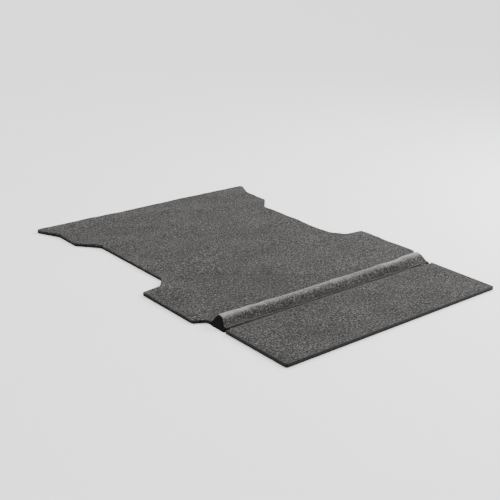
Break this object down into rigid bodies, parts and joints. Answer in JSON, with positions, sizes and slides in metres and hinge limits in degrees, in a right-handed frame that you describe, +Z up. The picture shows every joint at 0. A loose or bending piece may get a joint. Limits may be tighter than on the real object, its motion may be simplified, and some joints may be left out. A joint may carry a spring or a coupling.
{
  "type": "truck bed liner",
  "caption": "Carpeted foam-backed floor liner for a pickup bed, with wheel-well notches, a padded gap guard and a zip-on tailgate mat that folds up.",
  "frame": {"origin": "centre of the footprint, on the surface that the liner lies on", "axes": "+X the truck's right-hand side, +Y towards the cab, +Z up"},
  "size_m": [1.656, 2.268, 0.0585],
  "materials": {
    "charcoal_carpet": "needle-punched polypropylene pile, heathered charcoal, matt",
    "black_foam": "closed-cell polyethylene foam, cut faces, matt",
    "woven_tape": "black woven tape",
    "binding_tape": "black woven edge binding, stitched",
    "backing_cloth": "black non-woven backing cloth",
    "hook_tape": "black hook tape",
    "loop_fabric": "black loop fabric",
    "adhesive": "acrylic foam adhesive",
    "end_cap_vinyl": "black grained vinyl",
    "zip_plastic": "moulded black acetal, satin",
    "slider_metal": "die-cast zinc, black enamel, satin"
  },
  "bodies": {
    "floor_mat": {"floor_foam": "black_foam", "floor_carpet": "charcoal_carpet", "front_hinge_tape_floor_side": "woven_tape", "floor_adhesive_pads": "adhesive", "floor_hook_strips": "hook_tape", "floor_loop_patches": "loop_fabric"},
    "gap_guard": {"guard_cover": "charcoal_carpet", "guard_wedge_foam": "black_foam", "guard_base_foam": "black_foam", "guard_backing": "backing_cloth", "front_hinge_tape_guard_side": "woven_tape", "guard_end_cap_left": "end_cap_vinyl", "guard_end_cap_right": "end_cap_vinyl", "guard_zip_tape": "woven_tape", "tailgate_zip_tape_chain_edge": "woven_tape", "zip_retainer_box": "zip_plastic", "zip_insertion_pin": "zip_plastic", "zip_top_stops": "zip_plastic", "zip_teeth_guard_side": "zip_plastic", "zip_teeth_tailgate_side": "zip_plastic"},
    "zip_slider": {"slider_body": "slider_metal", "slider_crown": "slider_metal"},
    "zip_pull": {"pull_tab": "slider_metal"},
    "tailgate_mat": {"tailgate_foam": "black_foam", "tailgate_carpet": "charcoal_carpet", "tailgate_edge_binding": "binding_tape", "tailgate_zip_tape": "woven_tape", "tailgate_adhesive_pads": "adhesive", "tailgate_hook_strips": "hook_tape", "tailgate_loop_patches": "loop_fabric"}
  },
  "joints": [
    {"name": "guard_fold", "type": "hinge", "parent": "floor_mat", "child": "gap_guard", "pos_m": [0, -0.566, 0.0135], "axis": [-1, 0, 0], "range_deg": [0, 45]},
    {"name": "tailgate_fold", "type": "hinge", "parent": "gap_guard", "child": "tailgate_mat", "pos_m": [0, -0.6885, 0.01345], "axis": [-1, 0, 0], "range_deg": [0, 45]},
    {"name": "slider_travel", "type": "slide", "parent": "gap_guard", "child": "zip_slider", "axis": [-1, 0, 0], "range_m": [0, 1.418]},
    {"name": "pull_tab_turn", "type": "hinge", "parent": "zip_slider", "child": "zip_pull", "pos_m": [0.71, -0.6815, 0.01783], "axis": [0, 1, 0], "range_deg": [0, 180]}
  ],
  "couplings": [
    {"joint": "guard_fold", "follows": "tailgate_fold", "ratio": 1}
  ]
}
